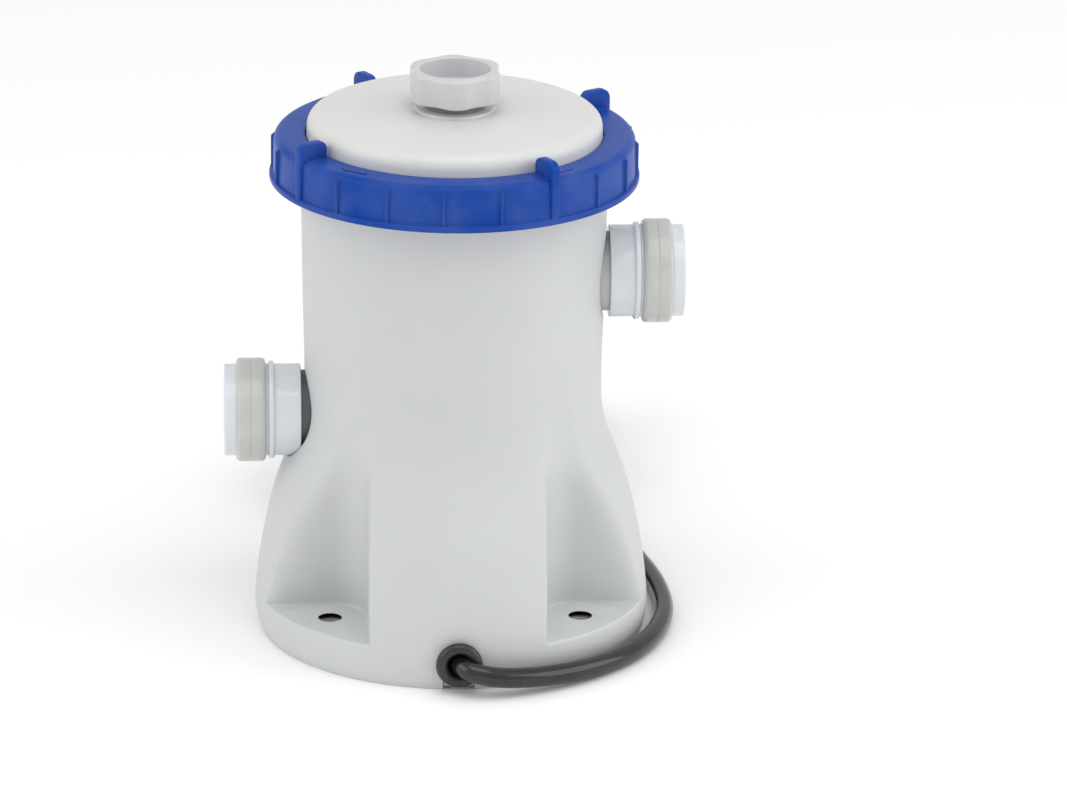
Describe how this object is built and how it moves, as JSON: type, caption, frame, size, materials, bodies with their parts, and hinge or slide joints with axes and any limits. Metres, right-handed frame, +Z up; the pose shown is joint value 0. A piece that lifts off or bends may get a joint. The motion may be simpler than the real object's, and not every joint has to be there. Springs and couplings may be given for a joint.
{
  "type": "cartridge filter pump",
  "caption": "Upright pool filter housing with a flared base, side hose ports, threaded locking ring, domed cover, air-release knob, pleated cartridge and a pump in its base.",
  "frame": {"origin": "on the floor under the axis of the upright body", "axes": "+Z up, +X along the upper hose port, -Y the front where the mains cord leaves"},
  "size_m": [0.159, 0.3024, 0.2023],
  "materials": {
    "moulded_shell": "satin",
    "vessel_plastic": "satin",
    "cover_plastic": "satin",
    "knob_plastic": "gloss",
    "blue_ring": "satin",
    "port_plastic": "gloss",
    "soft_sleeve": "semi-gloss",
    "seal_rubber": "matte",
    "cartridge_cap_plastic": "semi-gloss",
    "filter_fleece": "matte",
    "core_plastic": "satin",
    "pump_plastic": "satin",
    "impeller_plastic": "satin",
    "ferrite": "sintered",
    "carbon_bush": "matte",
    "steel": "plain",
    "laminated_steel": "varnished",
    "bobbin_nylon": "satin",
    "copper": "enamelled wire",
    "wire_insulation": "satin",
    "cord_rubber": "gloss",
    "plug_rubber": "satin",
    "plug_contact": "nickel plated",
    "tie_plastic": "satin"
  },
  "bodies": {
    "housing": {"outer_shell": "moulded_shell", "filter_vessel": "vessel_plastic", "cover_seal": "seal_rubber", "upper_spigot": "port_plastic", "lower_spigot": "port_plastic", "upper_hose_sleeve": "soft_sleeve", "lower_hose_sleeve": "soft_sleeve", "upper_spigot_seal": "seal_rubber", "lower_spigot_seal": "seal_rubber", "pump_housing": "pump_plastic", "pump_gasket": "seal_rubber", "pump_housing_screws": "steel", "rotor_shaft": "steel", "shaft_seats": "seal_rubber", "stator_core": "laminated_steel", "coil_bobbins": "bobbin_nylon", "coil_windings": "copper", "base_plate": "moulded_shell", "base_screws": "steel", "terminal_block": "pump_plastic", "cord_clamp": "pump_plastic", "cord_clamp_screws": "steel", "lead_wires": "wire_insulation", "cord_inner": "cord_rubber", "cord_grommet": "cord_rubber", "power_cord": "cord_rubber", "cord_coil": "cord_rubber", "cord_tail": "cord_rubber", "coil_tie": "tie_plastic", "plug_relief": "plug_rubber", "plug_body": "plug_rubber", "plug_pins": "plug_contact"},
    "cover": {"filter_cover": "cover_plastic"},
    "ring": {"locking_ring": "blue_ring"},
    "release_washer": {"air_release_seal": "seal_rubber"},
    "release_knob": {"air_release_knob": "knob_plastic", "air_release_clip": "knob_plastic"},
    "cartridge": {"cartridge_top_cap": "cartridge_cap_plastic", "cartridge_bottom_cap": "cartridge_cap_plastic", "pleated_media": "filter_fleece", "cartridge_core": "core_plastic"},
    "rotor": {"impeller": "impeller_plastic", "rotor_magnet": "ferrite", "rotor_bushes": "carbon_bush"}
  },
  "joints": [
    {"name": "cover_lift", "type": "slide", "parent": "housing", "child": "cover", "axis": [0, 0, 1], "range_m": [0, 0.2]},
    {"name": "ring_turn", "type": "hinge", "parent": "cover", "child": "ring", "pos_m": [0, 0, 0.17], "axis": [0, 0, 1], "range_deg": [0, 360]},
    {"name": "knob_rise", "type": "slide", "parent": "cover", "child": "release_washer", "axis": [0, 0, 1], "range_m": [0, 0.004]},
    {"name": "knob_turn", "type": "hinge", "parent": "release_washer", "child": "release_knob", "pos_m": [0, 0, 0.19], "axis": [0, 0, 1], "range_deg": [0, 720]},
    {"name": "cartridge_lift", "type": "slide", "parent": "housing", "child": "cartridge", "axis": [0, 0, 1], "range_m": [0, 0.1]},
    {"name": "rotor_spin", "type": "hinge", "parent": "housing", "child": "rotor", "pos_m": [0, 0, 0.06], "axis": [0, 0, 1], "continuous": true}
  ],
  "couplings": [
    {"joint": "knob_rise", "follows": "knob_turn", "m_per_rad": 0.000318},
    {"joint": "cartridge_lift", "follows": "cover_lift", "ratio": 0.5}
  ]
}
